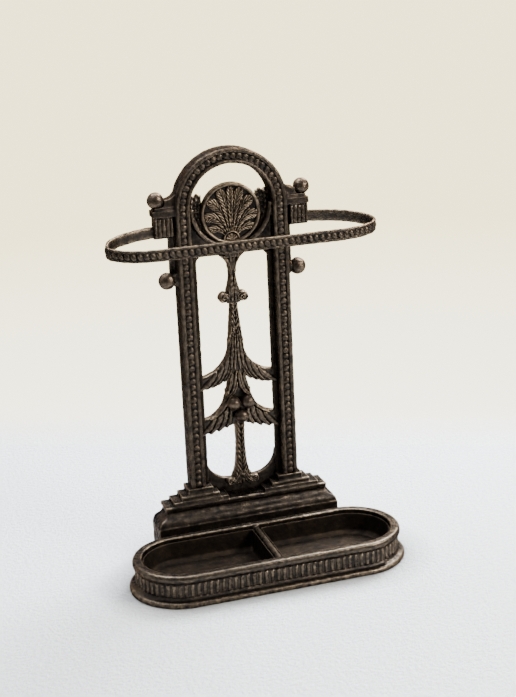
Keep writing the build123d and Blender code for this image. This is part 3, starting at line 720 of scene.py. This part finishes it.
def lower_outline():
    """Right half of the lower wing and the stem down to the foot."""
    shoulder = 26
    drop = (LOWER_WING_R**2 - (STILE_IN - shoulder) ** 2) ** 0.5
    hollow = arc(STILE_IN, LOWER_WING_Z, LOWER_WING_R, 180 + 13.6, 270, 30)
    under = smooth_line([(STILE_IN, 227), (60, 222.5), (41, 228), (9, 235)])
    stem = smooth_line([(9, 235), (8, 200), (9.5, 170), (12.5, 146), (20, 127)])
    top = [(0, 300), (22, 300), (shoulder, LOWER_WING_Z - drop)]
    return np.vstack([top, hollow, under, stem, [(0, 127)]])


def chevrons(relief, low, high, half, pitch, rise):
    """Laurel leaves in pairs up a stem, as V-shaped ridges with notched outer edges."""
    x, z = np.abs(relief.x), relief.z
    phase = (z - 2.0 * x) / pitch
    ridge = np.abs(np.sin(pi * phase)) ** 0.5
    across = np.clip(x / half(z), 0, 1)
    leaf = rise * ridge * np.sqrt(np.clip(1 - (across * 1.15 - 0.5) ** 2 * 1.6, 0, 1))
    leaf *= 1 - 0.75 * np.exp(-((x / 0.8) ** 2))
    zone = (z > low) & (z < high) & (x < half(z) + 0.6)
    relief.lift(np.where(zone, leaf + 0.3, 0))


def feathers(relief, centre_z, radius, first, last, count, low_from, low_to, width):
    """Feathers of a wing: each leaves the upper edge and runs down and outward to the lower edge."""
    for k in range(count):
        t = k / (count - 1)
        turn = radians(first + (last - first) * t)
        start = np.array([STILE_IN + (radius + 2.0) * cos(turn), centre_z + (radius + 2.0) * sin(turn)])
        end = np.asarray(low_from, float) * (1 - t) + np.asarray(low_to, float) * t
        end = end + [0.0, -2.4 - 2.8 * sin(pi * t)]
        way = end - start
        bow = np.array([way[1], -way[0]]) * 0.2
        middle = (start + end) / 2 + bow
        for side in (-1, 1):
            flip = np.array([side, 1.0])
            relief.blade(start * flip, middle * flip, end * flip, width * (1 - 0.2 * t), 4.6 - 0.9 * t,
                         widen=True, taper=1.2, groove=0.12, clear=1.0)


def make_tracery():
    """Openwork panel: laurel stem, volutes, two pairs of feathered wings and a bell of leaves."""
    relief = Relief(-78.3, 78.3, 124, 575, 0.85)
    x, z = np.abs(relief.x), relief.z
    upper = polygon_distance(x, z, upper_outline())
    lower = polygon_distance(x, z, lower_outline())
    # the two halves meet with no edge between them
    core = 4
    upper = np.where((x < core) & (z > 293) & (z < PANEL_TOP) & (upper > -core), -float(core), upper)
    lower = np.where((x < core) & (z > 127) & (z < 300) & (lower > -core), -float(core), lower)
    relief.cover(upper)
    relief.cover(lower)
    volute = np.hypot(x - 17.5, z - VOLUTE_Z) - VOLUTE_R
    relief.cover(np.maximum(volute, VOLUTE_FOOT - z))
    chevrons(relief, 400, 472, lambda at: 6.4 + np.clip(470 - at, 0, 200) * 0.095, LAUREL, 4.4)
    chevrons(relief, 128, 240, lambda at: 8.0 + np.clip(165 - at, 0, 60) * 0.2, LAUREL, 4.4)
    feathers(relief, UPPER_WING_Z, UPPER_WING_R, 172, 236, 5, (27, 323), (77, 313), 14.5)
    feathers(relief, LOWER_WING_Z, LOWER_WING_R, 178, 236, 4, (27, 232), (77, 224), 14.5)
    draw_leaves(relief, TRACERY_LEAVES)
    scroll(relief, 18.3, VOLUTE_Z, VOLUTE_R, 5.6, 3.4)
    relief.lift(np.where((x < 18) & (z > 472) & (z < 478), 1.8, 0))
    made = face_outward(relief.build("laurel_tracery", 112.8, 126.0, 2.4))
    roughen(made, 0.3, 9, 8)
    return dress(made, LEAFED, ["tracery"])


def make_side_bars():
    """Dull bars against the stiles, with their rounded upper corners."""
    relief = Relief(-78.3, 78.3, 108, 577, 1.2)
    x, z = np.abs(relief.x), relief.z
    bar_in, corner_r = 67.5, 10.0
    corner_x, corner_z = bar_in - corner_r, PANEL_TOP - corner_r
    bar = np.maximum(bar_in - x, np.maximum(FOOT_Z - z, z - PANEL_TOP))
    corner = np.maximum(np.maximum(corner_x - x, x - 68), np.maximum(corner_z - z, z - PANEL_TOP))
    corner = np.maximum(corner, corner_r - np.hypot(x - corner_x, z - corner_z))
    relief.cover(np.maximum(bar, x - 77.8))
    relief.cover(corner)
    made = face_outward(relief.build("panel_side_bars", 112.0, 118.0, 1.8))
    roughen(made, 0.3, 12, 9)
    return dress(made, PAN, ["tracery"])


def make_foot_scrolls():
    """Acanthus flare with a little scroll on each side, at the stem's foot."""
    relief = Relief(-36, 36, 108, 146, 0.7)
    x, z = np.abs(relief.x), relief.z
    relief.cover(np.hypot(x - SCROLL_X, z - SCROLL_Z) - SCROLL_R)
    relief.cover(np.maximum(x - 22, np.maximum(113.5 - z, z - (128 + 10 * np.clip(1 - x / 16, 0, 1)))))
    scroll(relief, SCROLL_X, SCROLL_Z, SCROLL_R, 4.2, 3.0)
    draw_leaves(relief, FOOT_LEAVES)
    relief.blade((0, 142), (0, 126), (0, 113), 8.0, 4.8, groove=0.4)
    made = face_outward(relief.build("foot_scrolls", 110.6, 118.0, 2.0))
    roughen(made, 0.25, 7, 22)
    return dress(made, IRON, ["tracery"])


def make_neck_pad():
    """Pad at the neck's head, with three small leaves."""
    relief = Relief(-16, 16, 555, 579, 0.8)
    x, z = np.abs(relief.x), relief.z
    relief.cover(np.maximum(x - 13, np.abs(z - 567) - 9))
    draw_leaves(relief, HEAD_LEAVES)
    relief.blade((0, 556), (0, 567), (0, 578), 6.0, 3.4)
    made = face_outward(relief.build("neck_pad", 108.6, 116.0, 2.0))
    return dress(made, IRON, ["tracery"])


# ------------------------------------------------------------------ medallion and lunette
# Spine of each frond about the medallion's middle: bend, tip, greatest width
FRONDS = [
    ((27.0, -17.0), (45.0, -32.0), 19.0),
    ((23.0, 6.0), (51.0, -8.0), 23.5),
    ((15.0, 22.0), (44.0, 22.5), 24.5),
    ((6.5, 26.0), (23.0, 45.0), 22.0),
    ((0.0, 0.0), (0.0, 50.5), 16.0),
]


def make_medallion():
    """Dished roundel with a raised rim and a palmette of nine fronds."""
    relief = Relief(-57, 57, MEDALLION_Z - 57, MEDALLION_Z + 57, 0.55)
    x, z = relief.x, relief.z
    radius = np.hypot(x, z - MEDALLION_Z)
    relief.cover(radius - MEDALLION_R)
    for row, (bend, tip, width) in enumerate(FRONDS):
        for side in (-1, 1) if tip[0] else (1,):
            root = (side * (4 - row) * 1.9, MEDALLION_Z - 43.0)
            middle = (side * bend[0], MEDALLION_Z + bend[1])
            end = (side * tip[0], MEDALLION_Z + tip[1])
            relief.blade(root, middle, end, width, 5.0 + 0.35 * row, 7.6, groove=0.6, clear=1.3)
    # fluted half rosette at the root, under an arched rim
    root_z = MEDALLION_Z - 47.5
    root = np.hypot(x, z - root_z)
    sweep = np.arctan2(z - root_z, np.abs(x))
    flute = np.abs(np.sin(sweep * 5.5)) ** 0.7
    relief.height = np.where(root < 15.5, 0, relief.height)
    arched = np.sqrt(np.clip(1 - ((root - 14.0) / 2.0) ** 2, 0, 1))
    fluted = np.where(root < 11.4, 1.2 + 3.6 * flute * step(11.4, 9.5, root), 0)
    relief.lift(np.maximum(5.6 * arched, fluted))
    dish_r = 49.0
    relief.height = np.where(radius > dish_r, 0, relief.height)
    dish = 111.0 - 1.4 * (radius / 50) ** 2
    rim = bump_profile(radius, 52.8, 3.8, 103.4, 110.0)
    front = np.where(radius > dish_r, rim, dish)
    made = face_outward(relief.build("shell_palmette", front, 116.0, 1.4))
    roughen(made, 0.16, 7, 10)
    return dress(made, PALMETTE, ["shell_medallion"])


def make_lunette():
    """Crescent plate behind the medallion, scaled like overlapping leaves, with two horns."""
    relief = Relief(-79, 79, ARCH_Z - 79, 690, 0.8)
    x, z = relief.x, relief.z
    radius = np.hypot(x, z - ARCH_Z)
    top = 677.5 + 2.0 * np.sin(np.abs(x) * 0.55 + 0.8)
    inside = np.maximum(radius - 76.5, z - top)
    inside = np.maximum(inside, np.where(z > ARCH_Z, 51.0 - np.abs(x), -99))
    relief.cover(inside)
    turn = np.arctan2(z - ARCH_Z, x)
    rows = radius / 7.4
    shift = (np.floor(rows) % 2) * 0.5
    cells = turn * 7.0 + shift
    relief.lift(0.3 + 2.6 * (np.sin(pi * cells) * np.sin(pi * rows)) ** 2)
    made = face_outward(relief.build("leafed_lunette", 116.6, 122.0, 1.2))
    roughen(made, 0.25, 8, 11)
    return dress(made, IRON, ["lunette_plate"])


# ------------------------------------------------------------------ sockets, balls
def make_sockets():
    """Blocks with upright flutes that hold the hoop's ends."""
    for side, name in ((-1, "left"), (1, "right")):
        relief = Relief(-18, 18, 606, 649, 0.7)
        x, z = relief.x, relief.z
        centre = side * SOCKET_X
        relief.cover(np.maximum(np.abs(x) - 17.0, np.maximum(608.0 - z, z - 647.5)))
        flute = np.sqrt(np.clip(1 - ((x / 7.6 + 0.5) % 1 * 2 - 1) ** 2, 0, 1))
        ends = step(610, 614, z) * step(646, 642, z)
        relief.lift(0.3 + 3.2 * flute * ends)
        relief.x = relief.x + centre
        front = 98.4 + 5.0 * np.clip((613.0 - z) / 5.0, 0, 1)
        made = face_outward(relief.build("fluted_socket_" + name, front, 118.0, 1.2))
        roughen(made, 0.2, 8, 12)
        dress(made, FLUTED, ["socket_" + name])


def make_ball(name, node):
    made = softened(name, node, 0.9, 5)
    roughen(made, 0.22, 10, 13 + len(name))
    return dress(made, BALL, [node])


def make_balls():
    for where in ("upper", "lower"):
        for side in ("left", "right"):
            make_ball("ball_" + where + "_" + side, "finial_" + where + "_" + side)
    make_ball("berry_cluster", "berries")


# ------------------------------------------------------------------ stage
BACKDROP, BACKDROP_FILL = 3.6, 0.55     # brightness of the backdrop to the camera, and as light on the object
CREAM, CREAM_NEAR = (0.97, 0.85, 0.48, 1), (1.22, 1.16, 0.92, 1)
SHADE = (0.16, 0.17, 0.165, 1)          # painted contact shadow on the paper where the object stands on it
FLOOR_HALF, FLOOR_Z = 9000, -0.4
FADE_X, FADE_Y = 0.41, 0.912            # direction in plan in which the floor fades into the backdrop
PAPER_NEAR, PAPER_FAR = 0.56, 0.86      # where along it the fade begins and ends, in metres
PAPER_ALL_NEAR, PAPER_ALL_FAR = 1.3, 2.2        # the same at any side, in metres from the centre


def paper_tone_and_shadow(tree, place):
    """Colour of the rough paper, with a painted contact shadow under the object's edges, and its grain."""
    grain = noise(tree, place, 110.0, 6.0, 0.7)
    tone = ramp(tree, grain, [(0.3, (0.78, 0.805, 0.83)), (0.7, (0.86, 0.88, 0.90))])
    # painted contact shadow: ambient occlusion darkens the paper's colour near the object
    near = add(tree, "ShaderNodeAmbientOcclusion", {"Distance": 0.08}, samples=8)
    contact_shadow = maths(tree, "POWER", near.outputs["AO"], 2.2)
    return mix(tree, contact_shadow, SHADE, tone), grain


def backdrop_glow(tree, away):
    """Cream light, paler near the stand, at full strength to the camera only."""
    far = add(tree, "ShaderNodeMapRange", {"Value": away, "From Min": 0.8, "From Max": 3.0})
    cream = mix(tree, far.outputs[0], CREAM_NEAR, CREAM)
    seen = add(tree, "ShaderNodeLightPath").outputs["Is Camera Ray"]
    power = add(tree, "ShaderNodeMapRange", {"Value": seen, "To Min": BACKDROP_FILL, "To Max": BACKDROP})
    return add(tree, "ShaderNodeEmission", {"Color": cream, "Strength": power.outputs[0]}).outputs[0]


def make_stage():
    """Pale textured paper that fades into an even backdrop behind the stand and far away."""
    count = 60
    xs = np.linspace(-FLOOR_HALF, FLOOR_HALF, count)
    x, y = np.meshgrid(xs, xs, indexing="ij")
    points = np.stack([x, y, np.full(x.shape, FLOOR_Z)], 2).reshape(-1, 3)
    floor = as_object("floor", points, grid_faces(count, count, False, False))
    material, tree, shader = node_material("pale_paper")
    place = add(tree, "ShaderNodeTexCoord").outputs["Object"]
    paper, grain = paper_tone_and_shadow(tree, place)
    tree.links.new(paper, shader.inputs["Base Color"])
    shader.inputs["Roughness"].default_value = 0.9
    bump = add(tree, "ShaderNodeBump", {"Height": grain, "Strength": 1.0, "Distance": 0.016})
    tree.links.new(bump.outputs["Normal"], shader.inputs["Normal"])
    parts = add(tree, "ShaderNodeSeparateXYZ", {"Vector": place})
    sideways = maths(tree, "MULTIPLY", parts.outputs["X"], FADE_X)
    behind = maths(tree, "ADD", sideways, maths(tree, "MULTIPLY", parts.outputs["Y"], FADE_Y))
    away = add(tree, "ShaderNodeVectorMath", {0: place}, operation="LENGTH").outputs["Value"]
    share = maths(tree, "MAXIMUM", eased(tree, behind, PAPER_NEAR, PAPER_FAR),
                  eased(tree, away, PAPER_ALL_NEAR, PAPER_ALL_FAR))
    glow = backdrop_glow(tree, away)
    blend = add(tree, "ShaderNodeMixShader", {0: share, 1: shader.outputs[0], 2: glow})
    tree.links.new(blend.outputs[0], tree.nodes["Material Output"].inputs["Surface"])
    floor.data.materials.append(material)


def area_light(name, place, target, size, power, colour):
    """A rectangular light at one place, turned to face another."""
    data = bpy.data.lights.new(name, "AREA")
    data.shape = "RECTANGLE"
    data.size, data.size_y = size
    data.energy = power
    data.color = colour
    light = bpy.data.objects.new(name, data)
    bpy.context.scene.collection.objects.link(light)
    place, target = Vector(place), Vector(target)
    light.location = place
    light.rotation_euler = (target - place).to_track_quat("-Z", "Y").to_euler()
    return light


def make_sky():
    """An even cream backdrop to the camera; to the metal, bright behind and above, and dim in front."""
    world = bpy.data.worlds.new("world")
    bpy.context.scene.world = world
    world.use_nodes = True
    tree = world.node_tree
    seen = tree.nodes["Background"]
    seen.inputs["Strength"].default_value = BACKDROP
    seen.inputs["Color"].default_value = CREAM
    place = add(tree, "ShaderNodeTexCoord").outputs["Generated"]
    way = add(tree, "ShaderNodeSeparateXYZ", {"Vector": place})
    back = maths(tree, "MULTIPLY", way.outputs["Y"], 0.8)
    behind = maths(tree, "ADD", back, maths(tree, "MULTIPLY", way.outputs["Z"], 0.7))
    reach = {"Value": behind, "From Min": -0.3, "From Max": 0.9, "To Min": 0.17, "To Max": 1.8}
    sky = add(tree, "ShaderNodeMapRange", reach)
    lit = add(tree, "ShaderNodeBackground", {"Color": (0.97, 0.98, 1.0, 1), "Strength": sky.outputs[0]})
    camera_ray = add(tree, "ShaderNodeLightPath").outputs["Is Camera Ray"]
    both = add(tree, "ShaderNodeMixShader", {0: camera_ray, 1: lit.outputs[0], 2: seen.outputs[0]})
    tree.links.new(both.outputs[0], tree.nodes["World Output"].inputs["Surface"])


def make_lights():
    """A cool window behind on the right, a warm one in front on the right, and a soft light overhead."""
    area_light("window", (1.5, 1.3, 2.1), (0, 0, 0.2), (1.2, 1.2), 430, (0.92, 0.96, 1.0))
    area_light("front_window", (1.9, -1.5, 1.7), (0, 0, 0.35), (0.8, 1.0), 165, (1.0, 0.93, 0.84))
    area_light("overhead", (-0.3, 0.8, 2.6), (0, 0, 0), (1.5, 1.5), 155, (0.97, 0.985, 1.0))


def make_camera():
    """Camera at the photograph's angle: to the left, a little above, and slightly rolled."""
    yaw, pitch, roll = radians(-16.95), radians(17.51), radians(-2.59)
    distance = 2.563
    target = Vector((0.0157, 0.027, 0.4057))
    back = Vector((sin(yaw) * cos(pitch), -cos(yaw) * cos(pitch), sin(pitch)))
    right = Vector((0, 0, 1)).cross(back).normalized()
    up = back.cross(right)
    turned_right = cos(roll) * right + sin(roll) * up
    turned_up = cos(roll) * up - sin(roll) * right
    data = bpy.data.cameras.new("camera")
    data.lens = 73.5
    data.sensor_width = 36.0
    camera = bpy.data.objects.new("camera", data)
    bpy.context.scene.collection.objects.link(camera)
    place = target + distance * back
    axes = Matrix((turned_right, turned_up, back)).transposed().to_4x4()
    camera.matrix_world = Matrix.Translation(place) @ axes
    bpy.context.scene.camera = camera


def dress_cad():
    """Fasteners stay as the part has them, in blackened steel."""
    for node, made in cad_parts.items():
        if any(word in node for word in ("bolts", "washers", "screws", "rivets")):
            made.data.materials.clear()
            made.data.materials.append(STEEL)


make_moulding()
make_ring()
make_frame_body()
make_hoop()
make_tray()
make_tray_body()
make_plinth()
make_pans()
make_tracery()
make_side_bars()
make_foot_scrolls()
make_neck_pad()
make_medallion()
make_lunette()
make_sockets()
make_balls()
dress_cad()
make_stage()
make_sky()
make_lights()
make_camera()
